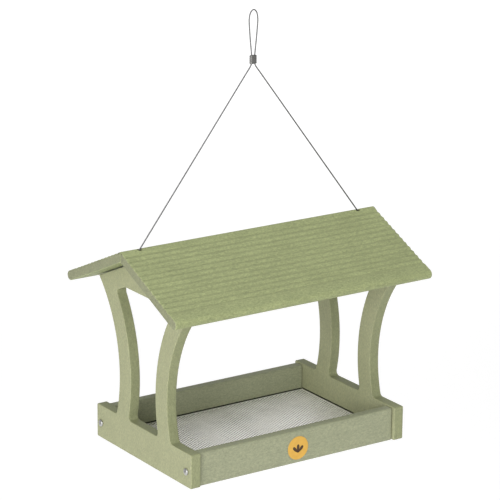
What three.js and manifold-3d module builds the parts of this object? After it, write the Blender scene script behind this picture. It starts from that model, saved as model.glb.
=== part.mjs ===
// Hanging fly-through bird feeder: two curved-leg end frames, a rail tray with a lift-out
// screen floor, a grooved gable roof and a wire-rope hanger.
// Millimetres. X runs along the ridge, -Y is the front, +Z is up.
// The origin is the inside top of the hanging loop, where a hook bears.
import * as THREE from "three";
import { mergeVertices } from "three/addons/utils/BufferGeometryUtils.js";
import Module from "manifold-3d";

const wasm = await Module();
wasm.setup();

// ---- driving dimensions: heights are above the underside of the tray ----
const GAP = 0.3; // clearance between pieces that touch
const HANG_HEIGHT = 630; // tray underside to the inside top of the loop

const BOARD = 16; // thickness of frames and rails
const FRAME_X = 175; // middle of an end frame
const FRAME_INNER = FRAME_X - BOARD / 2;
const FRAME_OUTER = FRAME_X + BOARD / 2;
const BASE_HALF = 125.2; // half depth of an end frame's foot
const BASE_HEIGHT = 50.2;
const LEG_CENTRE = { y: 262, z: 109 }; // centre of both leg arcs
const LEG_OUTER_R = 199.2;
const LEG_INNER_R = 229.6;
const GABLE_PEAK = 298.3;
const GABLE_SLOPE = THREE.MathUtils.degToRad(24);
const WINDOW_TOP = 246.5;
const CLIP_Z = 237.5; // the window's top corners are clipped, parallel to the gable
const CLIP_FILLET = 3;
const FLAT_FILLET = 12;
const FOOT_FILLET = 6;
const BASE_CORNER_R = 2.5;

const RAIL_OUTER = 120.3; // the rails sit back from the ends of the frames
const RAIL_HEIGHT = 48.4;
const RAIL_EASE = 3; // rounded top edges
const RAIL_LENGTH = 2 * (FRAME_INNER - GAP);

const LEDGER_WIDTH = 12;
const LEDGER_BOTTOM = 1.2;
const LEDGER_HEIGHT = 8.3;
const FLOOR_THICK = 1;
const FLOOR_CLEAR = 1.2; // all round the lift-out screen
const FLOOR_LIFT_GAP = 0.2;

const ROOF_LENGTH = 435.2;
const ROOF_THICK = 14;
const RIDGE = { y: 3, z: 299.9 }; // where the undersides of the two boards meet
const ROOF_BOARDS = [
  { name: "roof_panel_front", side: -1, slope: THREE.MathUtils.degToRad(24), width: 152 },
  { name: "roof_panel_rear", side: 1, slope: THREE.MathUtils.degToRad(24.4), width: 155 },
];
const GROOVE_COUNT = 13;
const GROOVE_PITCH = 10.05;
const GROOVE_DEPTH = 1.8;
const GROOVE_FIRST = 6.6; // ridge edge to the start of the first groove

const BATTEN_HALF = 28;
const BATTEN_BOTTOM = 283;

const CABLE_R = 1;
const CABLE_X = 187; // cable holes, just outside the end frames
const CABLE_Y = 2.15; // over the centre of gravity
const CABLE_HOLE_R = 4;
const SWING_Z = 313; // where the cable bends in its hole
const SWING_GAP = 0.75; // keeps the cable above and below the bend apart as the feeder swings
const ANCHOR_Z = 270.5; // hidden behind the roof's end
const EYE_R = 4.6;
const SPACER_R = 4.8;
const CRIMP = { width: 6, depth: 4, height: 9 };
const FERRULE = { width: 10.6, depth: 6, height: 12, bottom: 554.4 };
const LEG_END_GAP = 0.9; // the legs reach the ferrule at a slant
const STRAND_HALF = 2.4; // half the distance between the two strands at the ferrule

const LABEL_R = 17.3;
const LABEL_THICK = 0.4;
const LABEL_Z = 22.3;

const SCREW_SIDES = 12;
const SCREW_HOLE_CLEAR = 0.4;
const RAIL_SCREW = { head: 5, headHeight: 2.6, shank: 2, length: 40 };
const RAIL_SCREW_Z = 23;
const RAIL_SCREW_OUT = 1; // outwards of the rail's middle
const LEDGER_SCREW = { head: 3.2, headHeight: 2, shank: 1.5, length: 24 };
const LEDGER_SCREW_X = 95;
const ROOF_SCREW = { head: 3.6, headHeight: 2.2, shank: 1.8, length: 18 };
const ROOF_SCREW_X = 110;
const ROOF_SCREW_OFF = 16; // either side of the ridge
const BATTEN_SCREW = { head: 3.6, headHeight: 2.2, shank: 1.8, length: 36 };
const BATTEN_SCREW_Z = 288;
const BATTEN_SCREW_OFF = 11;
const ANCHOR_SCREW = { head: 5.2, headHeight: 2.6, shank: 2, length: 18 };

// ---- materials ----
const finish = (color, roughness, metalness) =>
  new THREE.MeshStandardMaterial({ color, roughness, metalness });
const greenBoard = () => finish(0xa5ac8a, 0.75, 0);
const greenRoof = () => finish(0x9ba679, 0.8, 0);
const steel = () => finish(0xc2c4c6, 0.35, 1);
const wireRope = () => finish(0x9a9c9f, 0.4, 1);
const screenMetal = () => finish(0xc9c8c4, 0.4, 1);
const nylon = () => finish(0xe4e4de, 0.6, 0);
const orangeLabel = () => finish(0xe0a12c, 0.5, 0);

// ---- solids ----
const pieces = new Map(); // name -> { geometry, material }
const drillings = new Map(); // name -> cutters

function addPiece(name, geometry, material) {
  pieces.set(name, { geometry, material });
}

function drill(name, cutter) {
  drillings.set(name, [...(drillings.get(name) ?? []), cutter]);
}

function toSolid(geometry) {
  const bare = new THREE.BufferGeometry();
  const flat = geometry.index ? geometry.toNonIndexed() : geometry;
  bare.setAttribute("position", flat.getAttribute("position"));
  const merged = mergeVertices(bare, 1e-3);
  return new wasm.Manifold(
    new wasm.Mesh({
      numProp: 3,
      vertProperties: merged.attributes.position.array,
      triVerts: new Uint32Array(merged.index.array),
    }),
  );
}

function toGeometry(solid) {
  const mesh = solid.getMesh();
  const geometry = new THREE.BufferGeometry();
  geometry.setAttribute("position", new THREE.BufferAttribute(mesh.vertProperties, 3));
  geometry.setIndex(new THREE.BufferAttribute(mesh.triVerts, 1));
  geometry.computeVertexNormals();
  return geometry;
}

const drilled = (geometry, cutters) =>
  toGeometry(cutters.reduce((solid, cutter) => solid.subtract(toSolid(cutter)), toSolid(geometry)));

// Points on an arc, end points included, from angle a0 to a1.
function arc(cy, cz, r, a0, a1, steps) {
  return Array.from({ length: steps + 1 }, (_, i) => {
    const a = a0 + ((a1 - a0) * i) / steps;
    return new THREE.Vector2(cy + r * Math.cos(a), cz + r * Math.sin(a));
  });
}

// A section in the Y-Z plane, extruded along X from x0 to x1.
function alongX(section, x0, x1) {
  const geometry = new THREE.ExtrudeGeometry(section, {
    depth: x1 - x0,
    bevelEnabled: false,
  });
  const yToX = new THREE.Matrix4().makeBasis(
    new THREE.Vector3(0, 1, 0),
    new THREE.Vector3(0, 0, 1),
    new THREE.Vector3(1, 0, 0),
  );
  return geometry.applyMatrix4(yToX).translate(x0, 0, 0);
}

const box = (x0, x1, y0, y1, z0, z1) =>
  new THREE.BoxGeometry(x1 - x0, y1 - y0, z1 - z0).translate(
    (x0 + x1) / 2,
    (y0 + y1) / 2,
    (z0 + z1) / 2,
  );

// A cylinder whose middle is at `at` and whose axis is the unit vector `axis`.
function rod(at, axis, radius, length, sides = SCREW_SIDES) {
  const turn = new THREE.Quaternion().setFromUnitVectors(new THREE.Vector3(0, 1, 0), axis);
  return new THREE.CylinderGeometry(radius, radius, length, sides)
    .applyQuaternion(turn)
    .translate(at.x, at.y, at.z);
}

// A pan-head screw: `seat` is the middle of the face under the head, `into` the way it is driven.
// The pieces it passes through are drilled with clearance.
function screw(name, seat, into, { head, headHeight, shank, length }, through) {
  const profile = [
    [0, -length],
    [shank * 0.4, -length],
    [shank, -length + 3],
    [shank, 0],
    [head, 0],
    [head, headHeight * 0.45],
    [head * 0.7, headHeight],
    [0, headHeight],
  ].map(([r, y]) => new THREE.Vector2(r, y));
  const out = into.clone().negate();
  const turn = new THREE.Quaternion().setFromUnitVectors(new THREE.Vector3(0, 1, 0), out);
  const place = seat.clone().addScaledVector(out, GAP);
  addPiece(
    name,
    new THREE.LatheGeometry(profile, SCREW_SIDES)
      .applyQuaternion(turn)
      .translate(place.x, place.y, place.z),
    steel(),
  );
  const holeLength = length + 2;
  const middle = seat.clone().addScaledVector(into, holeLength / 2 - 1);
  for (const target of through) {
    drill(target, rod(middle, into, shank + SCREW_HOLE_CLEAR, holeLength));
  }
}

// ---- end frames ----
// Half the outline, on +Y, from the bottom middle round to the gable peak.
function frameHalf() {
  const { y: cy, z: cz } = LEG_CENTRE;
  const footZ = BASE_HEIGHT + FOOT_FILLET;
  const footY = cy - Math.sqrt((LEG_OUTER_R - FOOT_FILLET) ** 2 - (footZ - cz) ** 2);
  const footAngle = Math.atan2(footZ - cz, footY - cy) + 2 * Math.PI;
  const gableHeight = (y) => GABLE_PEAK - y * Math.tan(GABLE_SLOPE);
  // The leg's outer arc runs up until it meets the gable slope.
  let low = Math.PI / 2;
  let high = Math.PI;
  while (high - low > 1e-9) {
    const mid = (low + high) / 2;
    const y = cy + LEG_OUTER_R * Math.cos(mid);
    const z = cz + LEG_OUTER_R * Math.sin(mid);
    if (z > gableHeight(y)) low = mid;
    else high = mid;
  }
  const quarter = Math.PI / 2;
  const edge = BASE_HALF - BASE_CORNER_R;
  return [
    ...arc(edge, BASE_CORNER_R, BASE_CORNER_R, -quarter, 0, 4),
    ...arc(edge, BASE_HEIGHT - BASE_CORNER_R, BASE_CORNER_R, 0, quarter, 4),
    ...arc(footY, footZ, FOOT_FILLET, 3 * quarter, footAngle, 6),
    ...arc(cy, cz, LEG_OUTER_R, footAngle, high, 28).slice(1),
  ];
}

// Points that round the corner between the runs to `before` and `after` with an arc.
function rounded(before, corner, after, r, steps) {
  const along = after.clone().sub(corner).normalize();
  const back = before.clone().sub(corner).normalize();
  const half = Math.acos(along.dot(back)) / 2;
  const centre = along.clone().add(back).setLength(r / Math.sin(half)).add(corner);
  const start = corner.clone().addScaledVector(back, r / Math.tan(half)).sub(centre).angle();
  const end = corner.clone().addScaledVector(along, r / Math.tan(half)).sub(centre).angle();
  const turn = THREE.MathUtils.euclideanModulo(end - start + Math.PI, 2 * Math.PI) - Math.PI;
  return arc(centre.x, centre.y, r, start, start + turn, steps);
}

// Half the window outline, on +Y, from its bottom to its top.
function windowHalf() {
  const { y: cy, z: cz } = LEG_CENTRE;
  const footZ = BASE_HEIGHT + FOOT_FILLET;
  const footY = cy - Math.sqrt((LEG_INNER_R + FOOT_FILLET) ** 2 - (footZ - cz) ** 2);
  const footAngle = Math.atan2(footZ - cz, footY - cy);
  const clipAngle = Math.PI - Math.asin((CLIP_Z - CLIP_FILLET - cz) / LEG_INNER_R);
  const leg = arc(cy, cz, LEG_INNER_R, footAngle + 2 * Math.PI, clipAngle, 28);
  const legTop = leg.at(-1);
  const clip = new THREE.Vector2(legTop.x - 0.6 * CLIP_FILLET, CLIP_Z);
  const flatY = clip.x - (WINDOW_TOP - CLIP_Z) / Math.tan(GABLE_SLOPE);
  const flat = new THREE.Vector2(flatY, WINDOW_TOP);
  const middle = new THREE.Vector2(0, WINDOW_TOP);
  return [
    ...arc(footY, footZ, FOOT_FILLET, -Math.PI / 2, footAngle + Math.PI, 6),
    ...leg.slice(1, -1),
    ...rounded(legTop, clip, flat, CLIP_FILLET, 4),
    ...rounded(clip, flat, middle, FLAT_FILLET, 4),
  ];
}

const mirrored = (half) => half.map((p) => new THREE.Vector2(-p.x, p.y)).reverse();

function endFrame(side) {
  const half = frameHalf();
  const peak = new THREE.Vector2(0, GABLE_PEAK);
  const outline = new THREE.Shape([...half, peak, ...mirrored(half)]);
  const opening = windowHalf();
  outline.holes.push(new THREE.Path([...opening, ...mirrored(opening)]));
  const x0 = side * FRAME_X - BOARD / 2;
  return alongX(outline, x0, x0 + BOARD);
}

// ---- tray ----
function rail(side) {
  const inner = RAIL_OUTER - BOARD;
  const round = RAIL_HEIGHT - RAIL_EASE;
  const quarter = Math.PI / 2;
  const section = [
    new THREE.Vector2(inner, 0),
    new THREE.Vector2(RAIL_OUTER, 0),
    ...arc(RAIL_OUTER - RAIL_EASE, round, RAIL_EASE, 0, quarter, 4),
    ...arc(inner + RAIL_EASE, round, RAIL_EASE, quarter, 2 * quarter, 4),
  ];
  const placed = side > 0 ? section : mirrored(section);
  return alongX(new THREE.Shape(placed), -RAIL_LENGTH / 2, RAIL_LENGTH / 2);
}

const trayInner = RAIL_OUTER - BOARD - GAP; // half depth inside the rails
const trayHalf = FRAME_INNER - GAP; // half length inside the frames
const ledgerTop = LEDGER_BOTTOM + LEDGER_HEIGHT;
const ledgerInner = trayInner - LEDGER_WIDTH;

// ---- roof ----
// A board's section in its own directions: u from the ridge down the slope, v out of the top.
function roofSection({ side, slope, width }) {
  const r = ROOF_THICK / 2;
  const mitre = (v) => -v * Math.tan(slope) + GAP / 2 / Math.cos(slope);
  const grooveStart = mitre(ROOF_THICK) + GROOVE_FIRST;
  const wave = Array.from({ length: GROOVE_COUNT * 6 + 1 }, (_, i) => {
    const phase = (i / 6) * 2 * Math.PI;
    const u = grooveStart + (i / 6) * GROOVE_PITCH;
    return [u, ROOF_THICK - (GROOVE_DEPTH * (1 - Math.cos(phase))) / 2];
  });
  const nose = arc(width - r, r, r, Math.PI / 2, -Math.PI / 2, 12).map((p) => [p.x, p.y]);
  const local = [
    [mitre(0), 0],
    [mitre(ROOF_THICK - 2), ROOF_THICK - 2],
    [mitre(ROOF_THICK) + 2.5, ROOF_THICK],
    ...wave,
    ...nose,
  ];
  const across = [Math.cos(slope) * side, -Math.sin(slope)];
  const normal = [Math.sin(slope) * side, Math.cos(slope)];
  return local.map(
    ([u, v]) =>
      new THREE.Vector2(
        RIDGE.y + u * across[0] + v * normal[0],
        RIDGE.z + u * across[1] + v * normal[1],
      ),
  );
}

function roofPanel(board) {
  const section = roofSection(board);
  const placed = new THREE.Shape(board.side > 0 ? section.reverse() : section);
  return alongX(placed, -ROOF_LENGTH / 2, ROOF_LENGTH / 2);
}

// A strip under the ridge that both boards are screwed to.
function ridgeBatten() {
  const under = ({ side, slope }) => {
    const drop = BATTEN_HALF * Math.tan(slope) + GAP / Math.cos(slope);
    return new THREE.Vector2(RIDGE.y + side * BATTEN_HALF, RIDGE.z - drop);
  };
  const [front, rear] = ROOF_BOARDS.map(under);
  const section = [
    new THREE.Vector2(front.x, BATTEN_BOTTOM),
    new THREE.Vector2(rear.x, BATTEN_BOTTOM),
    rear,
    new THREE.Vector2(RIDGE.y, RIDGE.z - GAP / Math.cos(ROOF_BOARDS[0].slope) - 0.1),
    front,
  ];
  return alongX(new THREE.Shape(section), -trayHalf, trayHalf);
}

// ---- hanger ----
function tube(curve, steps, radius = CABLE_R, sides = 8) {
  const ring = arc(0, 0, radius, 0, 2 * Math.PI, sides).slice(0, -1);
  return new THREE.ExtrudeGeometry(new THREE.Shape(ring), {
    steps,
    extrudePath: curve,
    bevelEnabled: false,
  });
}

// An oval sleeve, squeezed on to the cable, standing upright.
function sleeve({ width, depth, height }) {
  const r = depth / 2;
  const flat = width / 2 - r;
  const section = [
    ...arc(flat, 0, r, -Math.PI / 2, Math.PI / 2, 8),
    ...arc(-flat, 0, r, Math.PI / 2, (3 * Math.PI) / 2, 8),
  ];
  return new THREE.ExtrudeGeometry(new THREE.Shape(section), {
    depth: height - 1.6,
    bevelThickness: 0.8,
    bevelSize: 0.8,
    bevelOffset: -0.8,
    bevelSegments: 2,
  }).translate(0, 0, 0.8);
}

// The loop, as points (x, height), from the ferrule up to the middle.
const LOOP_TOP = HANG_HEIGHT + CABLE_R;
const ferruleTop = FERRULE.bottom + FERRULE.height;
const LOOP_SIDE = [
  [-STRAND_HALF, ferruleTop + GAP],
  [-2.7, 573],
  [-3.8, 585],
  [-5.6, 598],
  [-7.2, 609],
  [-7.5, 617],
  [-6, 625],
  [-3.2, 629.6],
];

// ---- build every piece ----
const X = new THREE.Vector3(1, 0, 0);
const Y = new THREE.Vector3(0, 1, 0);
const Z = new THREE.Vector3(0, 0, 1);
const point = (x, y, z) => new THREE.Vector3(x, y, z);
const SIDES = [
  { name: "left", s: -1 },
  { name: "right", s: 1 },
];
const FACES = [
  { name: "front", s: -1 },
  { name: "rear", s: 1 },
];

for (const { name, s } of SIDES) {
  addPiece(`end_frame_${name}`, endFrame(s), greenBoard());
}
for (const { name, s } of FACES) {
  addPiece(`${name}_rail`, rail(s), greenBoard());
}
for (const board of ROOF_BOARDS) {
  addPiece(board.name, roofPanel(board), greenRoof());
}
addPiece("ridge_batten", ridgeBatten(), greenBoard());

// Ledges that carry the screen: a strip along each rail and each frame, and one across.
for (const { name, s } of FACES) {
  const [y0, y1] = [s * ledgerInner, s * trayInner].sort((a, b) => a - b);
  addPiece(
    `ledger_${name}`,
    box(-trayHalf, trayHalf, y0, y1, LEDGER_BOTTOM, ledgerTop),
    greenBoard(),
  );
}
const shortLedgerHalf = ledgerInner - GAP;
for (const { name, s } of SIDES) {
  const [x0, x1] = [s * (trayHalf - LEDGER_WIDTH), s * trayHalf].sort((a, b) => a - b);
  addPiece(
    `ledger_${name}`,
    box(x0, x1, -shortLedgerHalf, shortLedgerHalf, LEDGER_BOTTOM, ledgerTop),
    greenBoard(),
  );
}
addPiece(
  "cross_support",
  box(
    -LEDGER_WIDTH / 2,
    LEDGER_WIDTH / 2,
    -shortLedgerHalf,
    shortLedgerHalf,
    LEDGER_BOTTOM,
    ledgerTop,
  ),
  greenBoard(),
);

const floorBottom = ledgerTop + FLOOR_LIFT_GAP;
const floorX = FRAME_INNER - FLOOR_CLEAR;
const floorY = RAIL_OUTER - BOARD - FLOOR_CLEAR;
addPiece(
  "floor_screen",
  box(-floorX, floorX, -floorY, floorY, floorBottom, floorBottom + FLOOR_THICK),
  screenMetal(),
);

// Rail screws, one through each frame into each rail's end.
const railScrewY = RAIL_OUTER - BOARD / 2 + RAIL_SCREW_OUT;
for (const side of SIDES) {
  for (const face of FACES) {
    screw(
      `rail_screw_${side.name}_${face.name}`,
      point(side.s * FRAME_OUTER, face.s * railScrewY, RAIL_SCREW_Z),
      X.clone().multiplyScalar(-side.s),
      RAIL_SCREW,
      [`end_frame_${side.name}`, `${face.name}_rail`],
    );
  }
}

// Ledge screws, driven sideways into the rails and frames below the screen.
const ledgerMiddle = LEDGER_BOTTOM + LEDGER_HEIGHT / 2;
for (const face of FACES) {
  for (const side of SIDES) {
    screw(
      `ledger_screw_${face.name}_${side.name}`,
      point(side.s * LEDGER_SCREW_X, face.s * ledgerInner, ledgerMiddle),
      Y.clone().multiplyScalar(face.s),
      LEDGER_SCREW,
      [`ledger_${face.name}`, `${face.name}_rail`],
    );
  }
}
for (const side of SIDES) {
  screw(
    `ledger_screw_${side.name}`,
    point(side.s * (trayHalf - LEDGER_WIDTH), 0, ledgerMiddle),
    X.clone().multiplyScalar(side.s),
    LEDGER_SCREW,
    [`ledger_${side.name}`, `end_frame_${side.name}`],
  );
}

// Roof screws go up through the batten into the boards, and in through the frames.
for (const board of ROOF_BOARDS) {
  for (const side of SIDES) {
    screw(
      `roof_screw_${board.name.slice(11)}_${side.name}`,
      point(side.s * ROOF_SCREW_X, RIDGE.y + board.side * ROOF_SCREW_OFF, BATTEN_BOTTOM),
      Z,
      ROOF_SCREW,
      ["ridge_batten", board.name],
    );
  }
}
for (const side of SIDES) {
  for (const face of FACES) {
    screw(
      `batten_screw_${side.name}_${face.name}`,
      point(side.s * FRAME_OUTER, RIDGE.y + face.s * BATTEN_SCREW_OFF, BATTEN_SCREW_Z),
      X.clone().multiplyScalar(-side.s),
      BATTEN_SCREW,
      [`end_frame_${side.name}`, "ridge_batten"],
    );
  }
}

// Cable ends: each tail drops outside its frame to an eye on an anchor screw.
const spacerThick = CABLE_X - CABLE_R - FRAME_OUTER - 2 * GAP;
const crimpBottom = ANCHOR_Z + EYE_R + CABLE_R + GAP;
const tailBottom = crimpBottom + CRIMP.height + GAP;
for (const { name, s } of SIDES) {
  for (const { name: boardName } of ROOF_BOARDS) {
    drill(boardName, rod(point(s * CABLE_X, CABLE_Y, SWING_Z - 4), Z, CABLE_HOLE_R, 40, 20));
  }
  const spacerX = FRAME_OUTER + GAP + spacerThick / 2;
  addPiece(
    `anchor_spacer_${name}`,
    rod(point(s * spacerX, CABLE_Y, ANCHOR_Z), X, SPACER_R, spacerThick, 16),
    nylon(),
  );
  screw(
    `anchor_screw_${name}`,
    point(s * (CABLE_X + CABLE_R), CABLE_Y, ANCHOR_Z),
    X.clone().multiplyScalar(-s),
    ANCHOR_SCREW,
    [`anchor_spacer_${name}`, `end_frame_${name}`],
  );
  addPiece(
    `tail_eye_${name}`,
    new THREE.TorusGeometry(EYE_R, CABLE_R, 8, 24)
      .rotateY(Math.PI / 2)
      .translate(s * CABLE_X, CABLE_Y, ANCHOR_Z),
    wireRope(),
  );
  addPiece(
    `tail_crimp_${name}`,
    sleeve(CRIMP).rotateZ(Math.PI / 2).translate(s * CABLE_X, CABLE_Y, crimpBottom),
    steel(),
  );
  const tail = new THREE.LineCurve3(
    point(s * CABLE_X, CABLE_Y, tailBottom),
    point(s * CABLE_X, CABLE_Y, SWING_Z - SWING_GAP),
  );
  addPiece(`cable_tail_${name}`, tube(tail, 8), wireRope());
  const leg = new THREE.LineCurve3(
    point(s * CABLE_X, CABLE_Y, SWING_Z + SWING_GAP),
    point(s * STRAND_HALF, CABLE_Y, FERRULE.bottom - LEG_END_GAP),
  );
  addPiece(`cable_leg_${name}`, tube(leg, 20), wireRope());
}
addPiece("ferrule", sleeve(FERRULE).translate(0, CABLE_Y, FERRULE.bottom), steel());
const loopPoints = [
  ...LOOP_SIDE,
  [0, LOOP_TOP],
  ...LOOP_SIDE.map(([x, z]) => [-x, z]).reverse(),
].map(([x, z]) => point(x, CABLE_Y, z));
addPiece("cable_loop", tube(new THREE.CatmullRomCurve3(loopPoints), 36), wireRope());

addPiece(
  "maker_label",
  rod(point(0, -RAIL_OUTER - GAP - LABEL_THICK / 2, LABEL_Z), Y, LABEL_R, LABEL_THICK, 48),
  orangeLabel(),
);

// ---- the assembly, hung from the loop ----
const feeder = new THREE.Group();
for (const [name, { geometry, material }] of pieces) {
  const cutters = drillings.get(name);
  const mesh = new THREE.Mesh(cutters ? drilled(geometry, cutters) : geometry, material);
  mesh.name = name;
  feeder.add(mesh);
}
feeder.position.set(0, -CABLE_Y, -HANG_HEIGHT);

const part = new THREE.Group();
part.add(feeder);

export default part;
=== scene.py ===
"""Looks for the hanging fly-through bird feeder: recycled-plastic boards, perforated floor, wire rope.

Sections are drawn in millimetres in the tray's own frame: Y from the middle of its depth and Z from
its underside. place() takes them to the shared frame, in metres, whose origin is inside the top of the loop.
"""
import math

import bmesh
import bpy
from mathutils import Matrix, Quaternion, Vector


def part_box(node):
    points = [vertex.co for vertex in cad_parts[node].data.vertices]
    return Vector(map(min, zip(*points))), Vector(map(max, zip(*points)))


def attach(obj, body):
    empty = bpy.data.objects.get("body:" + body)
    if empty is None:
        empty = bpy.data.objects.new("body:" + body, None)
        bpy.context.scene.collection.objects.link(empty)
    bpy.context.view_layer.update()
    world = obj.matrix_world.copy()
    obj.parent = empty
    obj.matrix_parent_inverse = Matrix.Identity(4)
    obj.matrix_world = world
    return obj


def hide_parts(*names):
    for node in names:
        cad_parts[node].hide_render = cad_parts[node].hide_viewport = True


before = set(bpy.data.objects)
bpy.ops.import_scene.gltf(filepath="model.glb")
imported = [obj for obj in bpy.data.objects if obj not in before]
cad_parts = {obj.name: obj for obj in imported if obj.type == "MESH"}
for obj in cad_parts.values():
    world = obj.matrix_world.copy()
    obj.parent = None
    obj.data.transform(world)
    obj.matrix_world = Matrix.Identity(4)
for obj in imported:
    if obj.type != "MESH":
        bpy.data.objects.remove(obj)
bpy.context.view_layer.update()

MM = 0.001

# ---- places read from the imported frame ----
frame_low, frame_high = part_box("end_frame_left")
TRAY_Y = (frame_low.y + frame_high.y) / 2
TRAY_Z = frame_low.z
FRAME_OUTER = -frame_low.x / MM
FRAME_INNER = -frame_high.x / MM
BASE_HALF = (frame_high.y - frame_low.y) / 2 / MM


def place(x, y, z):
    """A point given in tray millimetres, in the row frame."""
    return Vector((x * MM, TRAY_Y + y * MM, TRAY_Z + z * MM))


# ---- camera: at the photograph's viewing angle ----
AZIMUTH, ELEVATION, ROLL = (math.radians(a) for a in (-34.358, 16.83, 0.605))
DISTANCE = 3.7419
LENS, SENSOR = 189.6, 36


def add_camera():
    back = Vector(
        (
            math.sin(AZIMUTH) * math.cos(ELEVATION),
            -math.cos(AZIMUTH) * math.cos(ELEVATION),
            math.sin(ELEVATION),
        )
    )
    right = Vector((0, 0, 1)).cross(back).normalized()
    up = back.cross(right)
    turned_right = right * math.cos(ROLL) + up * math.sin(ROLL)
    turned_up = up * math.cos(ROLL) - right * math.sin(ROLL)
    data = bpy.data.cameras.new("camera")
    data.lens, data.sensor_width = LENS, SENSOR
    data.clip_start, data.clip_end = 0.1, 100
    camera = bpy.data.objects.new("camera", data)
    bpy.context.collection.objects.link(camera)
    axes = Matrix((turned_right, turned_up, back)).transposed().to_4x4()
    camera.matrix_world = Matrix.Translation(place(-3.28, 0, 284.27) + back * DISTANCE) @ axes
    bpy.context.scene.camera = camera


add_camera()


# ---- mesh helpers ----
SHARP_ANGLE = math.radians(38)  # a steeper edge is shaded as a crease
STATION = 24  # mm between the rings along a board


def new_object(name, bm, smooth=True):
    bmesh.ops.recalc_face_normals(bm, faces=bm.faces)
    for face in bm.faces:
        face.smooth = smooth
    mesh = bpy.data.meshes.new(name)
    bm.to_mesh(mesh)
    bm.free()
    obj = bpy.data.objects.new(name, mesh)
    bpy.context.collection.objects.link(obj)
    return obj


def apply_modifiers(obj):
    graph = bpy.context.evaluated_depsgraph_get()
    mesh = bpy.data.meshes.new_from_object(obj.evaluated_get(graph))
    obj.modifiers.clear()
    obj.data = mesh
    return obj


def flatten_caps(obj):
    """Keeps large flat faces flat and steep edges sharp, while eased edges stay smooth."""
    bm = bmesh.new()
    bm.from_mesh(obj.data)
    for edge in bm.edges:
        edge.smooth = edge.calc_face_angle(0) < SHARP_ANGLE
    bm.to_mesh(obj.data)
    bm.free()
    weighted = obj.modifiers.new("flat_caps", "WEIGHTED_NORMAL")
    weighted.weight = 100
    weighted.keep_sharp = True
    return apply_modifiers(obj)


def cut(obj, cutters):
    """Cuts the cutters' shapes out of obj and removes them."""
    for cutter in cutters:
        boolean = obj.modifiers.new("cut", "BOOLEAN")
        boolean.operation, boolean.solver, boolean.object = "DIFFERENCE", "EXACT", cutter
    apply_modifiers(obj)
    for cutter in cutters:
        bpy.data.objects.remove(cutter)
    return obj


def finish_piece(obj, body, nodes, material):
    obj.data.materials.clear()
    obj.data.materials.append(material)
    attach(obj, body)
    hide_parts(*([nodes] if isinstance(nodes, str) else nodes))
    return obj


def arc(cy, cz, r, a0, a1, steps):
    angles = [a0 + (a1 - a0) * i / steps for i in range(steps + 1)]
    return [(cy + r * math.cos(a), cz + r * math.sin(a)) for a in angles]


def inset(loop, by):
    """A closed loop moved into the material on its left by a distance."""
    moved = []
    for i, (y, z) in enumerate(loop):
        (y0, z0), (y1, z1) = loop[i - 1], loop[(i + 1) % len(loop)]
        before = Vector((y - y0, z - z0)).normalized()
        after = Vector((y1 - y, z1 - z)).normalized()
        normal = Vector((-before.y - after.y, before.x + after.x))
        scale = by * 2 / max(normal.length_squared, 0.5)
        moved.append((y + normal.x * scale, z + normal.y * scale))
    return moved


def board(name, loops, x0, x1, ease, rings=4):
    """Loops in the Y-Z plane, the first one outer, run along X with rounded arrises."""
    bm = bmesh.new()
    turns = [i / rings * math.pi / 2 for i in range(rings + 1)]
    profile = [(x0 + ease * (1 - math.cos(t)), ease * (1 - math.sin(t))) for t in turns]
    count = max(1, round((x1 - x0) / STATION))
    stations = [(x0 + ease + (x1 - x0 - 2 * ease) * i / count, 0) for i in range(1, count)]
    profile += stations + [(x0 + x1 - x, by) for x, by in reversed(profile)]
    ends = {0: [], len(profile) - 1: []}
    for loop in loops:
        rows = [
            [bm.verts.new(place(x, y, z)) for y, z in inset(loop, by)] for x, by in profile
        ]
        for row, following in zip(rows, rows[1:]):
            for i in range(len(loop)):
                bm.faces.new((row[i - 1], row[i], following[i], following[i - 1]))
        for end in ends:
            row = rows[end]
            ends[end] += [bm.edges.get((row[i - 1], row[i])) for i in range(len(row))]
    for edges in ends.values():
        bmesh.ops.triangle_fill(bm, use_beauty=True, edges=edges)
    return new_object(name, bm)


def mirror_half(half):
    return half + [(-y, z) for y, z in reversed(half)]


def revolve(name, profile, sides):
    """A closed solid turned about local Z from (radius, height) points that start and end on the axis."""
    bm = bmesh.new()
    ends = [bm.verts.new((0, 0, profile[0][1] * MM)), bm.verts.new((0, 0, profile[-1][1] * MM))]
    rows = []
    for r, z in profile[1:-1]:
        angles = [2 * math.pi * i / sides for i in range(sides)]
        rows.append([bm.verts.new((r * MM * math.cos(a), r * MM * math.sin(a), z * MM)) for a in angles])
    for i in range(sides):
        bm.faces.new((ends[0], rows[0][i], rows[0][i - 1]))
        bm.faces.new((ends[1], rows[-1][i - 1], rows[-1][i]))
        for row, following in zip(rows, rows[1:]):
            bm.faces.new((row[i - 1], row[i], following[i], following[i - 1]))
    return new_object(name, bm)


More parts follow.
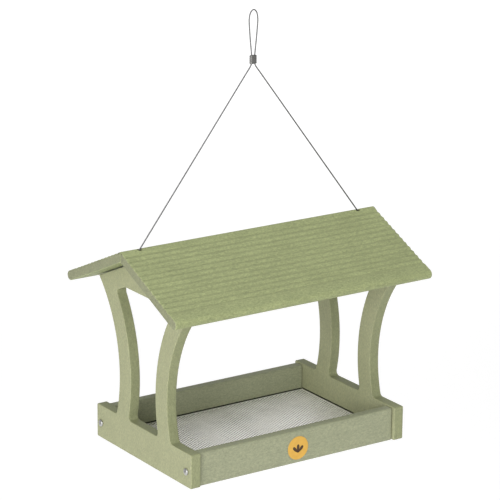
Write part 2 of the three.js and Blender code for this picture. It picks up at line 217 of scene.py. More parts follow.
# ---- materials ----
class Nodes:
    """A material with a Principled shader, and short calls to wire nodes into it."""

    def __init__(self, name, roughness, metallic=0.0):
        self.material = bpy.data.materials.new(name)
        self.material.use_nodes = True
        self.tree = self.material.node_tree
        self.shader = self.tree.nodes["Principled BSDF"]
        self.shader.inputs["Roughness"].default_value = roughness
        self.shader.inputs["Metallic"].default_value = metallic

    def add(self, kind, **settings):
        node = self.tree.nodes.new(kind)
        for key, value in settings.items():
            setattr(node, key, value)
        return node

    def link(self, output, target):
        self.tree.links.new(output, target)

    def noise(self, stretch, scale, detail=3.0, roughness=0.55):
        """Noise over object coordinates, stretched by a scale for each axis."""
        coordinates = self.add("ShaderNodeTexCoord")
        mapping = self.add("ShaderNodeMapping")
        mapping.inputs["Scale"].default_value = stretch
        texture = self.add("ShaderNodeTexNoise")
        texture.inputs["Scale"].default_value = scale
        texture.inputs["Detail"].default_value = detail
        texture.inputs["Roughness"].default_value = roughness
        self.link(coordinates.outputs["Object"], mapping.inputs["Vector"])
        self.link(mapping.outputs["Vector"], texture.inputs["Vector"])
        return texture.outputs["Fac"]

    def ramp(self, value, low, high, dark, light):
        node = self.add("ShaderNodeMapRange")
        for socket, number in zip(node.inputs[1:5], (low, high, dark, light)):
            socket.default_value = number
        self.link(value, node.inputs[0])
        return node.outputs[0]

    def multiply(self, *values):
        total = values[0]
        for value in values[1:]:
            node = self.add("ShaderNodeMath", operation="MULTIPLY")
            self.link(total, node.inputs[0])
            self.link(value, node.inputs[1])
            total = node.outputs[0]
        return total

    def total(self, *values):
        whole = values[0]
        for value in values[1:]:
            node = self.add("ShaderNodeMath", operation="ADD")
            self.link(whole, node.inputs[0])
            self.link(value, node.inputs[1])
            whole = node.outputs[0]
        return whole

    def shade(self, color, value):
        """A colour made lighter or darker by a value near 1."""
        node = self.add("ShaderNodeVectorMath", operation="SCALE")
        node.inputs[0].default_value = color
        self.link(value, node.inputs["Scale"])
        return node.outputs[0]

    def blend(self, factor, first, second):
        node = self.add("ShaderNodeMix", data_type="RGBA")
        self.link(factor, node.inputs["Factor"])
        for socket, value in zip((node.inputs["A"], node.inputs["B"]), (first, second)):
            if isinstance(value, tuple):
                socket.default_value = (*value, 1)
            else:
                self.link(value, socket)
        return node.outputs["Result"]

    def bump(self, height, strength, distance):
        node = self.add("ShaderNodeBump")
        node.inputs["Strength"].default_value = strength
        node.inputs["Distance"].default_value = distance
        self.link(height, node.inputs["Height"])
        self.link(node.outputs["Normal"], self.shader.inputs["Normal"])


def stretch_for(axis, along, across):
    return tuple(along if i == axis else across for i in range(3))


def plastic_lumber(name, skin, sawn, grain_axis, sawn_axis, sawn_when_along, contrast=1.0):
    """Matte recycled plastic: fine speckle, faint streaks along the board, pale worn edges.

    Faces square to sawn_axis, or all the others, show the sawn core, whose colour differs from the skin.
    """
    n = Nodes(name, 0.62)

    def swing(value, amount):
        return n.ramp(value, 0.28, 0.72, 1 - amount * contrast, 1 + amount * contrast)

    cloud = n.noise((1, 1, 1), 22, 4)
    streak = n.noise(stretch_for(grain_axis, 14, 170), 1, 4, 0.6)
    speck = n.noise(stretch_for(grain_axis, 260, 520), 1, 2, 0.75)
    fleck = n.noise((1, 1, 1), 1100, 2, 0.7)
    shades = n.multiply(swing(cloud, 0.04), swing(streak, 0.035), swing(speck, 0.2), swing(fleck, 0.12))
    split = n.add("ShaderNodeSeparateXYZ")
    n.link(n.add("ShaderNodeTexCoord").outputs["Normal"], split.inputs[0])
    across = n.add("ShaderNodeMath", operation="ABSOLUTE")
    n.link(split.outputs[sawn_axis], across.inputs[0])
    low, high = (0.55, 0.8) if sawn_when_along else (0.8, 0.55)
    tint = n.blend(n.ramp(across.outputs[0], low, high, 0, 1), skin, sawn)
    pointed = n.add("ShaderNodeNewGeometry").outputs["Pointiness"]
    pale = tuple(min(1, c * 1.3) for c in skin)
    worn = n.blend(n.ramp(pointed, 0.52, 0.6, 0, 0.5), tint, pale)
    scaled = n.add("ShaderNodeVectorMath", operation="SCALE")
    n.link(worn, scaled.inputs[0])
    n.link(shades, scaled.inputs["Scale"])
    n.link(scaled.outputs[0], n.shader.inputs["Base Color"])
    n.link(n.ramp(speck, 0.2, 0.8, 0.52, 0.74), n.shader.inputs["Roughness"])
    n.bump(n.total(streak, speck, fleck), 0.4, 0.0005)
    n.shader.inputs["Specular IOR Level"].default_value = 0.35
    return n.material


def metal(name, color, roughness, grain, bump=0.1):
    """Bare metal with a fine grain, faint smudges and slightly uneven gloss."""
    n = Nodes(name, roughness, 1.0)
    fine = n.noise(grain, 1, 3, 0.6)
    smudge = n.noise((1, 1, 1), 60, 3)
    value = n.multiply(n.ramp(fine, 0.3, 0.7, 0.93, 1.07), n.ramp(smudge, 0.3, 0.7, 0.94, 1.06))
    n.link(n.shade(color, value), n.shader.inputs["Base Color"])
    n.link(n.ramp(smudge, 0.3, 0.7, roughness * 0.85, roughness * 1.2), n.shader.inputs["Roughness"])
    n.bump(fine, bump, 0.0001)
    return n.material


def vinyl(name, color, roughness=0.42):
    """Printed vinyl or moulded nylon: slight unevenness of tone and a soft satin surface."""
    n = Nodes(name, roughness)
    tone = n.noise((1, 1, 1), 180, 3)
    pebble = n.noise((1, 1, 1), 1500, 2)
    n.link(n.shade(color, n.ramp(tone, 0.3, 0.7, 0.95, 1.05)), n.shader.inputs["Base Color"])
    n.link(n.ramp(pebble, 0.3, 0.7, roughness * 0.9, roughness * 1.15), n.shader.inputs["Roughness"])
    n.shader.inputs["Specular IOR Level"].default_value = 0.3
    n.bump(pebble, 0.12, 0.0001)
    return n.material


BOARD_SKIN, BOARD_SAWN = (0.224, 0.236, 0.15), (0.192, 0.205, 0.108)
FRAME_SKIN = (0.222, 0.229, 0.132)
ROOF_SKIN, ROOF_SAWN = (0.213, 0.238, 0.111), (0.16, 0.167, 0.098)
frame_lumber = plastic_lumber("frame_lumber", FRAME_SKIN, BOARD_SAWN, 2, 0, False)
rail_lumber = plastic_lumber("rail_lumber", BOARD_SKIN, BOARD_SAWN, 0, 0, True)
cross_lumber = plastic_lumber("cross_lumber", BOARD_SKIN, BOARD_SAWN, 1, 1, True)
roof_lumber = plastic_lumber("roof_lumber", ROOF_SKIN, ROOF_SAWN, 0, 0, True, 1.35)
screen_metal = metal("screen_metal", (0.95, 0.93, 0.905), 0.42, (60, 900, 900))
screen_metal.node_tree.nodes["Principled BSDF"].inputs["Metallic"].default_value = 0.25
# painted shade: dark grey metal on the walls of the floor's holes, standing in for the shade down inside
# them
hole_wall_painted_shade = metal("hole_wall_painted_shade", (0.3, 0.294, 0.285), 0.6, (900, 900, 900))
screw_metal = metal("screw_metal", (0.4, 0.4, 0.39), 0.28, (700, 700, 700), 0.05)
ferrule_metal = metal("ferrule_metal", (0.17, 0.168, 0.162), 0.5, (900, 900, 120), 0.25)
rope_metal = metal("rope_metal", (0.16, 0.16, 0.16), 0.5, (1200, 1200, 1200), 0.1)
# painted shade: a near-black material that stands in for the shadow down inside the saw line round the floor
kerf_painted_shade = vinyl("kerf_painted_shade", (0.035, 0.036, 0.028), 0.9)
label_vinyl = vinyl("label_vinyl", (0.55, 0.255, 0.002), 0.8)
label_print = vinyl("label_print", (0.05, 0.025, 0.01))
label_rim = vinyl("label_rim", (0.5, 0.29, 0.05))
nylon = vinyl("nylon", (0.75, 0.75, 0.7), 0.5)

# ---- the hanging wire rope: one length from ridge hole to ridge hole by way of the loop ----
ROPE_R = 1
ROPE_Y = -TRAY_Y / MM
LAY_LENGTH = 11
STRANDS = 6
ferrule_low, ferrule_high = (v.z / MM - TRAY_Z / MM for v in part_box("ferrule"))
ROPE_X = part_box("tail_eye_right")[0].x / MM + ROPE_R


def smooth_path(points, step):
    """A centripetal curve through the points, as points about a step apart."""
    padded = [points[0] * 2 - points[1], *points, points[-1] * 2 - points[-2]]
    path = [points[0]]
    for p0, p1, p2, p3 in zip(padded, padded[1:], padded[2:], padded[3:]):
        t = [0.0]
        for a, b in ((p0, p1), (p1, p2), (p2, p3)):
            t.append(t[-1] + (b - a).length ** 0.5)
        count = max(1, round((p2 - p1).length / step))
        for i in range(1, count + 1):
            s = t[1] + (t[2] - t[1]) * i / count
            a1 = p0.lerp(p1, (s - t[0]) / (t[1] - t[0]))
            a2 = p1.lerp(p2, (s - t[1]) / (t[2] - t[1]))
            a3 = p2.lerp(p3, (s - t[2]) / (t[3] - t[2]))
            b1 = a1.lerp(a2, (s - t[0]) / (t[2] - t[0]))
            b2 = a2.lerp(a3, (s - t[1]) / (t[3] - t[1]))
            path.append(b1.lerp(b2, (s - t[1]) / (t[2] - t[1])))
    return path


def rope_section(radius, per_strand=4):
    """Polar radii round a bundle of six strands about a core."""
    away, strand = radius * 2 / 3, radius / 3
    radii = []
    for i in range(per_strand):
        off = (i / per_strand - 0.5) * 2 * math.pi / STRANDS
        radii.append(away * math.cos(off) + math.sqrt(max(0, strand**2 - (away * math.sin(off)) ** 2)))
    return radii * STRANDS


def rope(name, path, radius=ROPE_R * MM):
    """A six-strand twisted rope swept along a path, with closed ends."""
    radii = rope_section(radius)
    count = len(radii)
    bm = bmesh.new()
    tangent = (path[1] - path[0]).normalized()
    side = tangent.orthogonal().normalized()
    rows, run = [], 0.0
    for i, point in enumerate(path):
        ahead = (path[min(i + 1, len(path) - 1)] - path[max(i - 1, 0)]).normalized()
        side = (tangent.rotation_difference(ahead) @ side).normalized()
        tangent = ahead
        other = tangent.cross(side)
        run += (point - path[i - 1]).length if i else 0
        twist = run / (LAY_LENGTH * MM) * 2 * math.pi
        row = []
        for k, r in enumerate(radii):
            a = 2 * math.pi * k / count + twist
            row.append(bm.verts.new(point + (side * math.cos(a) + other * math.sin(a)) * r))
        rows.append(row)
    for row, following in zip(rows, rows[1:]):
        for k in range(count):
            bm.faces.new((row[k - 1], row[k], following[k], following[k - 1]))
    bm.faces.new(rows[0])
    bm.faces.new(rows[-1])
    return new_object(name, bm)


# Half of the route, from the left hole in the ridge up to the ferrule and round the loop: x, z.
ferrule_middle = (ferrule_low + ferrule_high) / 2
HALF_ROUTE = [
    (-ROPE_X, 313.3),
    (-141, 373.1),
    (-95, 432.9),
    (-49, 492.8),
    (-12, 540.9),
    (-4.6, 550.6),
    (-2.6, 555.2),
    (-2.2, ferrule_middle),
    (-2.65, ferrule_high),
    (-3.75, 577),
    (-5, 588),
    (-6.3, 602.3),
    (-7.2, 617),
    (-5.6, 626),
    (-3, 629.6),
]


def add_hanging_rope():
    loop_top = -TRAY_Z / MM + ROPE_R
    route = HALF_ROUTE + [(0, loop_top)] + [(-x, z) for x, z in reversed(HALF_ROUTE)]
    points = [place(x, ROPE_Y, z) for x, z in route]
    path = smooth_path(points, 1.0 * MM)
    obj = rope("hanging_rope", path)
    finish_piece(
        obj, "hanger", ["cable_leg_left", "cable_leg_right", "cable_loop"], rope_metal
    )
    return obj, path


hanging_rope, rope_path = add_hanging_rope()


def sleeve(name, width, depth, height, crimps, crimp_depth):
    """An oval crimped sleeve about the local Z axis, pressed in at its crimps."""
    bm = bmesh.new()
    rings, sides, lip = 26, 32, 0.5
    rows = []
    for i in range(rings + 1):
        z = height * i / rings
        edge = min(z, height - z)
        rounding = lip * (1 - math.sqrt(max(0, 1 - (1 - min(edge / lip, 1)) ** 2)))
        press = sum(math.exp(-(((z - c * height) / 0.9) ** 2)) for c in crimps) * crimp_depth
        row = []
        for k in range(sides):
            a = 2 * math.pi * k / sides
            c, s = math.cos(a), math.sin(a)
            waist = 1 - 0.08 * (1 - abs(c)) ** 2
            x = math.copysign(abs(c) ** 0.75, c) * (width / 2 - rounding - press * 0.1)
            y = math.copysign(abs(s) ** 0.6, s) * (depth / 2 - rounding - press) * waist
            row.append(bm.verts.new((x * MM, y * MM, z * MM)))
        rows.append(row)
    for row, following in zip(rows, rows[1:]):
        for k in range(sides):
            bm.faces.new((row[k - 1], row[k], following[k], following[k - 1]))
    bm.faces.new(rows[0])
    bm.faces.new(rows[-1])
    return new_object(name, bm)


def add_ferrule():
    low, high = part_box("ferrule")
    size = (high - low) / MM
    obj = sleeve("crimped_ferrule", size.x, size.y, size.z, (0.25, 0.5, 0.75), 0.32)
    obj.data.transform(Matrix.Translation(((low.x + high.x) / 2, (low.y + high.y) / 2, low.z)))
    return finish_piece(obj, "hanger", "ferrule", ferrule_metal)


add_ferrule()

# ---- end frames ----
LEG_Y, LEG_Z = 262, 109
LEG_OUTER_R, LEG_INNER_R = 199.2, 229.6
BASE_HEIGHT, FOOT_FILLET, BASE_CORNER_R = 50.2, 6, 2.5
WINDOW_TOP, CLIP_Z, CLIP_FILLET, FLAT_FILLET = 246.5, 237.5, 3, 12
GABLE_PEAK, GABLE_SLOPE = (frame_high.z - frame_low.z) / MM, math.radians(24)
FRAME_EASE = 1.3
KERF_LOW, KERF_HIGH, KERF_DEPTH = 10.5, 12.6, 3  # a saw line round the inside, level with the floor


def frame_outline():
    """The frame's outline, anticlockwise from the bottom of its +Y corner."""
    quarter = math.pi / 2
    foot_z = BASE_HEIGHT + FOOT_FILLET
    foot_y = LEG_Y - math.sqrt((LEG_OUTER_R - FOOT_FILLET) ** 2 - (foot_z - LEG_Z) ** 2)
    foot_angle = math.atan2(foot_z - LEG_Z, foot_y - LEG_Y) + 2 * math.pi
    low, high = quarter, math.pi
    for _ in range(60):  # where the leg's arc meets the gable slope
        middle = (low + high) / 2
        y = LEG_Y + LEG_OUTER_R * math.cos(middle)
        above = LEG_Z + LEG_OUTER_R * math.sin(middle) > GABLE_PEAK - y * math.tan(GABLE_SLOPE)
        low, high = (middle, high) if above else (low, middle)
    edge, r = BASE_HALF - BASE_CORNER_R, BASE_CORNER_R
    half = [
        *arc(edge, r, r, -quarter, 0, 6),
        *arc(edge, BASE_HEIGHT - r, r, 0, quarter, 6),
        *arc(foot_y, foot_z, FOOT_FILLET, 3 * quarter, foot_angle, 8),
        *arc(LEG_Y, LEG_Z, LEG_OUTER_R, foot_angle, high, 56)[1:],
        (0, GABLE_PEAK),
    ]
    return half + [(-y, z) for y, z in reversed(half[:-1])]


def rounded(a, corner, b, r, steps=6):
    """The points that round a corner between two straight runs."""
    corner, a, b = Vector(corner), Vector(a), Vector(b)
    along, back = (b - corner).normalized(), (a - corner).normalized()
    half = along.angle(back) / 2
    start, end = corner + back * r / math.tan(half), corner + along * r / math.tan(half)
    centre = corner + (along + back).normalized() * r / math.sin(half)
    a0, a1 = (math.atan2(*reversed(p - centre)) for p in (start, end))
    turn = (a1 - a0 + math.pi) % (2 * math.pi) - math.pi
    return arc(centre.x, centre.y, r, a0, a0 + turn, steps)


def window_outline():
    """The window between the legs, clockwise, so that the board lies on its left."""
    low_z = BASE_HEIGHT + FOOT_FILLET
    low_y = LEG_Y - math.sqrt((LEG_INNER_R + FOOT_FILLET) ** 2 - (low_z - LEG_Z) ** 2)
    low_angle = math.atan2(low_z - LEG_Z, low_y - LEG_Y)
    clip_angle = math.pi - math.asin((CLIP_Z - CLIP_FILLET - LEG_Z) / LEG_INNER_R)
    leg = arc(LEG_Y, LEG_Z, LEG_INNER_R, low_angle + 2 * math.pi, clip_angle, 56)[1:]
    clip = (leg[-1][0] - 0.6 * CLIP_FILLET, CLIP_Z)
    flat = (clip[0] - (WINDOW_TOP - CLIP_Z) / math.tan(GABLE_SLOPE), WINDOW_TOP)
    half = [
        *arc(low_y, low_z, FOOT_FILLET, -math.pi / 2, low_angle + math.pi, 8),
        *leg[:-1],
        *rounded(leg[-1], clip, flat, CLIP_FILLET),
        *rounded(clip, flat, (0, WINDOW_TOP), FLAT_FILLET),
    ]
    return list(reversed(mirror_half(half)))


MARGIN = 0.1  # keeps a test on a face clear of rounding


def darken_kerf(obj, inside):
    """Paints shade on the faces down inside the saw line, with a dark material that stands in for the
    groove's shadow.
    """
    obj.data.materials.append(kerf_painted_shade)
    for face in obj.data.polygons:
        y, z = face.center.y / MM - TRAY_Y / MM, face.center.z / MM - TRAY_Z / MM
        if KERF_LOW - MARGIN < z < KERF_HIGH + MARGIN and inside(y, face.center.x / MM):
            face.material_index = 1


def kerf_cutter(x):
    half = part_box("rear_rail")[0].y - TRAY_Y
    bm = bmesh.new()
    bmesh.ops.create_cube(bm, size=1)
    size = Vector((2 * KERF_DEPTH * MM, 2 * half, (KERF_HIGH - KERF_LOW) * MM))
    centre = place(x, 0, (KERF_LOW + KERF_HIGH) / 2)
    for vert in bm.verts:
        vert.co = centre + Vector(a * b for a, b in zip(vert.co, size))
    return new_object("cutter", bm, smooth=False)


def add_end_frames():
    for name, s in (("left", -1), ("right", 1)):
        x0, x1 = sorted((s * FRAME_OUTER, s * FRAME_INNER))
        obj = board(f"end_frame_{name}_board", [frame_outline(), window_outline()], x0, x1, FRAME_EASE)
        flatten_caps(cut(obj, [kerf_cutter(s * FRAME_INNER)]))
        finish_piece(obj, "feeder", f"end_frame_{name}", frame_lumber)
        darken_kerf(obj, lambda y, x: abs(x) > FRAME_INNER + 2 * MARGIN)


add_end_frames()

# ---- tray ----
RAIL_EASE, RAIL_FOOT_EASE, RAIL_END_EASE = 3, 1, 0.9
RAIL_SHY = 0.8  # open joint at each end of a rail


def rail_section(side, inner, outer, height):
    quarter = math.pi / 2
    r, foot = RAIL_EASE, RAIL_FOOT_EASE
    section = [
        *arc(inner + foot, foot, foot, 2 * quarter, 3 * quarter, 4),
        *arc(outer - foot, foot, foot, 3 * quarter, 4 * quarter, 4),
        *arc(outer - r, height - r, r, 0, quarter, 8),
        *arc(inner + r, height - r, r, quarter, 2 * quarter, 8),
        (inner, KERF_HIGH),
        (inner + KERF_DEPTH, KERF_HIGH),
        (inner + KERF_DEPTH, KERF_LOW),
        (inner, KERF_LOW),
    ]
    return section if side > 0 else [(-y, z) for y, z in reversed(section)]


def tray_extent(node):
    """A node's box in tray millimetres."""
    low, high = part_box(node)
    offset = Vector((0, TRAY_Y, TRAY_Z))
    return (low - offset) / MM, (high - offset) / MM


def add_rails():
    for name, side in (("front", -1), ("rear", 1)):
        low, high = tray_extent(f"{name}_rail")
        inner, outer = sorted((abs(low.y), abs(high.y)))
        section = rail_section(side, inner, outer, high.z)
        obj = board(f"{name}_rail_board", [section], low.x + RAIL_SHY, high.x - RAIL_SHY, RAIL_END_EASE)
        finish_piece(flatten_caps(obj), "feeder", f"{name}_rail", rail_lumber)
        darken_kerf(obj, lambda y, x: inner + 2 * MARGIN < abs(y) < inner + KERF_DEPTH + 1)


add_rails()


def strip(name, node, material, ease=0.6):
    """A plain sawn strip with eased arrises, filling the node's box."""
    low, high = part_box(node)
    bm = bmesh.new()
    bmesh.ops.create_cube(bm, size=1)
    size = high - low
    for vert in bm.verts:
        vert.co = (low + high) / 2 + Vector(vert.co[i] * size[i] for i in range(3))
    bmesh.ops.bevel(
        bm, geom=bm.edges[:], offset=ease * MM, segments=3, profile=0.5, affect="EDGES"
    )
    long_edges = [e for e in bm.edges if e.calc_length() > 0.05]
    bmesh.ops.subdivide_edges(bm, edges=long_edges, cuts=6)
    obj = flatten_caps(new_object(name, bm))
    return finish_piece(obj, "feeder", node, material)


for node, material in (
    ("ledger_front", rail_lumber),
    ("ledger_rear", rail_lumber),
    ("ledger_left", cross_lumber),
    ("ledger_right", cross_lumber),
    ("cross_support", cross_lumber),
):
    strip(f"{node}_strip", node, material)

# ---- perforated floor ----
PITCH = 4.76  # staggered holes, nearest neighbours along Y
HOLE_R = 1.4
HOLE_SIDES = 6
PLAIN_EDGE = 1.6  # unpunched border


def add_floor():
    """A sheet with a staggered pattern of six-sided holes through it, made cell by cell."""
    low, high = tray_extent("floor_screen")
    row_step = PITCH * math.sqrt(3) / 2
    columns = int((high.x - low.x - 2 * PLAIN_EDGE) / row_step)
    rows = int((high.y - low.y - 2 * PLAIN_EDGE) / PITCH)
    cell_r = PITCH / math.sqrt(3)
    middle = (low + high) / 2
    bm = bmesh.new()
    corners = {}

    def corner(x, y):
        key = (round(x, 2), round(y, 2))
        if key not in corners:
            corners[key] = bm.verts.new(place(x, y, high.z))
        return corners[key]

    x_start = middle.x - (columns - 1) / 2 * row_step
    for column in range(columns):
        shift = 0.25 if column % 2 else -0.25
        for row in range(rows):
            x = x_start + column * row_step
            y = middle.y + (row - (rows - 1) / 2 + shift) * PITCH
            outer, inner = [], []
            for k in range(HOLE_SIDES):
                a = k * math.pi / 3
                c, s = math.cos(a), math.sin(a)
                outer.append(corner(x + cell_r * c, y + cell_r * s))
                inner.append(bm.verts.new(place(x + HOLE_R * c, y + HOLE_R * s, high.z)))
            for k in range(HOLE_SIDES):
                bm.faces.new((outer[k - 1], outer[k], inner[k], inner[k - 1]))
    outline = [(low.x, low.y), (high.x, low.y), (high.x, high.y), (low.x, high.y)]
    frame_verts = [bm.verts.new(place(x, y, high.z)) for x, y in outline]
    for i in range(4):
        bm.edges.new((frame_verts[i - 1], frame_verts[i]))
    joined = set(corners.values())
    rim = [
        e
        for e in bm.edges
        if len(e.link_faces) < 2 and (set(e.verts) <= joined or set(e.verts) <= set(frame_verts))
    ]
    bmesh.ops.triangle_fill(bm, use_beauty=True, edges=rim, normal=(0, 0, 1))
    for face in bm.faces:
        if face.normal.z < 0:
            face.normal_flip()
    mesh = bpy.data.meshes.new("perforated_floor")
    bm.to_mesh(mesh)
    bm.free()
    obj = bpy.data.objects.new("perforated_floor", mesh)
    bpy.context.collection.objects.link(obj)
    solid = obj.modifiers.new("sheet", "SOLIDIFY")
    solid.thickness = (high.z - low.z) * MM
    solid.offset = -1
    apply_modifiers(obj)
    finish_piece(obj, "floor", "floor_screen", screen_metal)
    # the hole walls get the dark metal: painted shade inside the perforations
    obj.data.materials.append(hole_wall_painted_shade)
    for face in obj.data.polygons:
        if abs(face.normal.z) < 0.5:
            face.material_index = 1


add_floor()

# ---- roof ----
ROOF_THICK = 14
RIDGE_Y, RIDGE_Z = 3, 299.9
GROOVES, GROOVE_PITCH, GROOVE_DEPTH, GROOVE_FIRST = 13, 10.05, 1.3, 6.6
MITRE_GAP = 0.15
ROOF_EASE = 1.6
ROOF_BOARDS = (("front", -1, math.radians(24), 152), ("rear", 1, math.radians(24.4), 155))
CABLE_HOLE_R = 4
CUTTER_BOTTOM, CUTTER_HEIGHT = 290, 40


def roof_section(side, slope, width):
    """The board's section: square to the slope, mitred at the ridge, grooved on top, round at the eave."""
    r = ROOF_THICK / 2

    def mitre(v):
        return -v * math.tan(slope) + MITRE_GAP / math.cos(slope)

    start = mitre(ROOF_THICK) + GROOVE_FIRST
    steps = 10
    wave = []
    for i in range(GROOVES * steps + 1):
        dip = GROOVE_DEPTH * (1 - math.cos(2 * math.pi * i / steps)) / 2
        wave.append((start + i / steps * GROOVE_PITCH, ROOF_THICK - dip))
    local = [
        (mitre(0) + 0.3, 0),
        (mitre(0.4), 0.4),
        (mitre(ROOF_THICK - 0.8), ROOF_THICK - 0.8),
        (mitre(ROOF_THICK - 0.25) + 0.15, ROOF_THICK - 0.25),
        (mitre(ROOF_THICK) + 0.9, ROOF_THICK),
        *wave,
        *arc(width - r, r, r, math.pi / 2, -math.pi / 2, 20),
    ]
    c, s = math.cos(slope), math.sin(slope)
    points = [(RIDGE_Y + side * (u * c + v * s), RIDGE_Z - u * s + v * c) for u, v in local]
    return points if side < 0 else list(reversed(points))


def hole_cutter(x):
    profile = [(0, 0), (CABLE_HOLE_R, 0), (CABLE_HOLE_R, CUTTER_HEIGHT), (0, CUTTER_HEIGHT)]
    cutter = revolve("cutter", profile, 24)
    cutter.location = place(x, ROPE_Y, CUTTER_BOTTOM)
    return cutter


def add_roof():
    half = tray_extent("roof_panel_front")[1].x
    for name, side, slope, width in ROOF_BOARDS:
        section = roof_section(side, slope, width)
        obj = board(f"roof_panel_{name}_board", [section], -half, half, ROOF_EASE)
        flatten_caps(cut(obj, [hole_cutter(-ROPE_X), hole_cutter(ROPE_X)]))
        finish_piece(obj, "feeder", f"roof_panel_{name}", roof_lumber)


add_roof()


def add_batten():
    low, high = tray_extent("ridge_batten")
    front, rear = ROOF_BOARDS[0][2], ROOF_BOARDS[1][2]
    half = (high.y - low.y) / 2
    gap = 0.35
    section = [
        (low.y, low.z),
        (high.y, low.z),
        (high.y, RIDGE_Z - half * math.tan(rear) - gap),
        (RIDGE_Y, RIDGE_Z - gap - 0.1),
        (low.y, RIDGE_Z - half * math.tan(front) - gap),
    ]
    obj = board("ridge_batten_strip", [section], low.x, high.x, 0.6)
    finish_piece(flatten_caps(obj), "feeder", "ridge_batten", rail_lumber)


add_batten()

# ---- screws and cable anchors ----
CROSS_DEPTH = 0.62  # share of the head's height


def screw_mesh(head, height, shank, length):
    """A pan-head screw pointing down local -Z, its head's top at the origin, with a cross recess."""
    dome = [(head * math.sin(t), height * (math.cos(t) * 0.55 - 0.55)) for t in
            (i / 8 * math.pi / 2 for i in range(1, 9))]
    profile = [
        (0, 0),
        *dome,
        (head, -height * 0.85),
        (head * 0.96, -height),
        (shank, -height),
        (shank, -height - length + 3),
        (shank * 0.4, -height - length),
        (0, -height - length),
    ]
    obj = revolve("screw", list(reversed(profile)), 32)
    arms = []
    for turn in (0, math.pi / 2):
        bm = bmesh.new()
        bmesh.ops.create_cube(bm, size=1)
        long, wide, deep = head * 1.05, head * 0.2, height * CROSS_DEPTH * 2
        for vert in bm.verts:
            taper = 1 if vert.co.z > 0 else 0.45
            vert.co = Vector((vert.co.x * long * taper, vert.co.y * wide * taper, vert.co.z * deep)) * MM
        bm.transform(Matrix.Rotation(turn, 4, "Z"))
        arms.append(new_object("arm", bm, smooth=False))
    cut(obj, arms)
    mesh = obj.data
    bpy.data.objects.remove(obj)
    return mesh


def add_screw(node, out, mesh):
    """Puts a screw mesh with its head facing out, where the CAD screw's head is."""
    low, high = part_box(node)
    direction = Vector(out)
    middle, half = (low + high) / 2, (high - low) / 2
    top = middle + Vector(direction[i] * half[i] for i in range(3))
    turn = Vector((0, 0, 1)).rotation_difference(direction)
    roll = Quaternion((0, 0, 1), 0.5 + 0.9 * (hash_of(node) % 7))
    obj = bpy.data.objects.new(f"{node}_cross", mesh.copy())
    bpy.context.collection.objects.link(obj)
    obj.data.transform(Matrix.LocRotScale(top, turn @ roll, None))
    finish_piece(obj, "feeder", node, screw_metal)


def hash_of(text):
    return sum(ord(c) * (i + 3) for i, c in enumerate(text))


def add_screws():
    rail = screw_mesh(5, 2.6, 2, 40)
    ledger = screw_mesh(3.2, 2, 1.5, 24)
    roof = screw_mesh(3.6, 2.2, 1.8, 18)
    batten = screw_mesh(3.6, 2.2, 1.8, 36)
    anchor = screw_mesh(5.2, 2.6, 2, 18)
    for side, s in (("left", -1), ("right", 1)):
        for face, f in (("front", -1), ("rear", 1)):
            add_screw(f"rail_screw_{side}_{face}", (s, 0, 0), rail)
            add_screw(f"ledger_screw_{face}_{side}", (0, -f, 0), ledger)
            add_screw(f"roof_screw_{face}_{side}", (0, 0, -1), roof)
            add_screw(f"batten_screw_{side}_{face}", (s, 0, 0), batten)
        add_screw(f"ledger_screw_{side}", (-s, 0, 0), ledger)
        add_screw(f"anchor_screw_{side}", (s, 0, 0), anchor)


add_screws()


def add_anchors():
    """The rope's ends: down through the ridge, a crimp, and an eye round the anchor screw."""
    for side, s in (("left", -1), ("right", 1)):
        crimp_low, crimp_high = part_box(f"tail_crimp_{side}")
        size = (crimp_high - crimp_low) / MM
        crimp = sleeve(f"tail_crimp_{side}_sleeve", size.y, size.x, size.z, (0.35, 0.7), 0.25)
        centre = (crimp_low + crimp_high) / 2
        crimp.data.transform(
            Matrix.Translation((centre.x, centre.y, crimp_low.z)) @ Matrix.Rotation(math.pi / 2, 4, "Z")
        )
        finish_piece(crimp, "feeder", f"tail_crimp_{side}", ferrule_metal)

        low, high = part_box(f"cable_tail_{side}")
        x, y = (low.x + high.x) / 2, (low.y + high.y) / 2
        tail = smooth_path([Vector((x, y, z)) for z in (low.z, (low.z + high.z) / 2, high.z)], MM)
        finish_piece(
            rope(f"cable_tail_{side}_rope", tail), "feeder", f"cable_tail_{side}", rope_metal
        )

        low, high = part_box(f"tail_eye_{side}")
        middle = (low + high) / 2
        radius = (high.z - low.z) / 2 - ROPE_R * MM
        gap = math.radians(20)
        turns = [math.pi / 2 + gap + (2 * math.pi - 2 * gap) * i / 40 for i in range(41)]
        eye = [middle + Vector((0, radius * math.cos(a), radius * math.sin(a))) for a in turns]
        finish_piece(
            rope(f"tail_eye_{side}_rope", eye), "feeder", f"tail_eye_{side}", rope_metal
        )

        low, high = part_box(f"anchor_spacer_{side}")
        thick, radius = (high.x - low.x) / MM, (high.z - low.z) / 2 / MM
        profile = [(0, 0), (radius - 0.3, 0), (radius, 0.3), (radius, thick - 0.3),
                   (radius - 0.3, thick), (0, thick)]
        spacer = revolve(f"anchor_spacer_{side}_ring", profile, 32)
        middle = (low + high) / 2
        spacer.data.transform(
            Matrix.Translation((low.x, middle.y, middle.z)) @ Matrix.Rotation(math.pi / 2, 4, "Y")
        )
        finish_piece(spacer, "feeder", f"anchor_spacer_{side}", nylon)


add_anchors()


# ---- label: a plain round sticker with a generic seed mark ----
def seed_outline(length, width, steps=20):
    """A drop shape, pointed at one end, from its tip upwards."""
    points = []
    for i in range(steps):
        a = 2 * math.pi * i / steps
        y = length / 2 * (1 - math.cos(a))
        x = width / 2 * math.sin(a) * (0.35 + 0.65 * y / length)
        points.append((x, y))
    return points


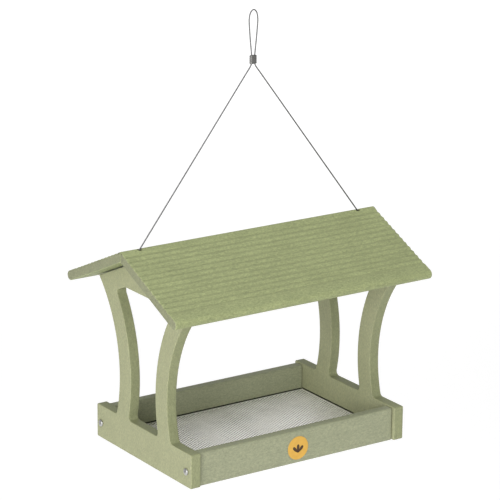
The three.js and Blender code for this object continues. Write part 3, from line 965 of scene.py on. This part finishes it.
def thin_print(name, outline, at, thick, material):
    """A thin raised shape on the front rail, facing -Y: outline in x and z about a point."""
    bm = bmesh.new()
    back = [bm.verts.new(place(at[0] + x, at[1], at[2] + z)) for x, z in outline]
    front = [bm.verts.new(place(at[0] + x, at[1] - thick, at[2] + z)) for x, z in outline]
    bm.faces.new(back)
    bm.faces.new(front)
    for i in range(len(outline)):
        bm.faces.new((back[i - 1], back[i], front[i], front[i - 1]))
    obj = new_object(name, bm, smooth=False)
    obj.data.materials.append(material)
    return obj


def add_label():
    low, high = tray_extent("maker_label")
    middle, radius = (low + high) / 2, (high.z - low.z) / 2
    bm = bmesh.new()
    sides = 96
    rows = []
    for r, y in ((radius, high.y), (radius, low.y + 0.12), (radius - 0.12, low.y), (radius - 1.2, low.y)):
        rows.append([
            bm.verts.new(place(
                middle.x + r * math.cos(2 * math.pi * k / sides),
                y,
                middle.z + r * math.sin(2 * math.pi * k / sides),
            ))
            for k in range(sides)
        ])
    for row, following in zip(rows, rows[1:]):
        for k in range(sides):
            bm.faces.new((row[k - 1], row[k], following[k], following[k - 1]))
    bm.faces.new(rows[0])
    face = bm.faces.new(rows[-1])
    face.material_index = 1
    sticker = new_object("seed_label", bm, smooth=False)
    finish_piece(sticker, "feeder", "maker_label", label_rim)
    sticker.data.materials.append(label_vinyl)
    for i, tilt in enumerate((-0.75, 0, 0.75)):
        c, s = math.cos(tilt), math.sin(tilt)
        outline = [(x * c + y * s, y * c - x * s) for x, y in seed_outline(12.5, 6.4)]
        seed = thin_print(
            f"seed_mark_{i + 1}", outline, (middle.x, low.y + 0.02, middle.z - 7), 0.12, label_print
        )
        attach(seed, "feeder")


add_label()

# ---- floor, lights and world ----
FLOOR_DROP = 1.25  # the studio floor, below the tray


def add_studio():
    bm = bmesh.new()
    bmesh.ops.create_grid(bm, x_segments=8, y_segments=8, size=30)
    studio = new_object("studio_floor", bm)
    studio.location.z = TRAY_Z - FLOOR_DROP
    n = Nodes("studio_white", 0.9)
    n.shader.inputs["Base Color"].default_value = (0.93, 0.93, 0.93, 1)
    n.shader.inputs["Specular IOR Level"].default_value = 0.1
    n.shader.inputs["Emission Color"].default_value = (1, 1, 1, 1)
    n.shader.inputs["Emission Strength"].default_value = 0.22
    n.bump(n.noise((1, 1, 1), 3, 2), 0.05, 0.01)
    studio.data.materials.append(n.material)

    world = bpy.data.worlds.new("studio")
    world.use_nodes = True
    world.node_tree.nodes["Background"].inputs["Color"].default_value = (1, 1, 1, 1)
    world.node_tree.nodes["Background"].inputs["Strength"].default_value = 0.55
    bpy.context.scene.world = world


def add_area_light(name, at, size, watts, target=(0, 0, -0.45)):
    data = bpy.data.lights.new(name, "AREA")
    data.shape, data.size, data.energy = "DISK", size, watts
    light = bpy.data.objects.new(name, data)
    bpy.context.collection.objects.link(light)
    light.location = at
    light.rotation_mode = "QUATERNION"
    light.rotation_quaternion = (Vector(target) - Vector(at)).to_track_quat("-Z", "Y")
    light.visible_camera = False


add_studio()
add_area_light("key", (-3.05, -1.85, 0.3), 2, 80)
add_area_light("front", (-2.3, -2.85, 0.35), 2.2, 64)
add_area_light("left", (-3.6, -0.7, -0.35), 1.2, 22)
add_area_light("top", (-0.3, -0.8, 3.1), 2.4, 62)
add_area_light("backdrop", (5.2, 7.4, 2.4), 6, 128, target=(5, 7.2, -1.9))
bpy.context.scene.view_settings.view_transform = "Standard"
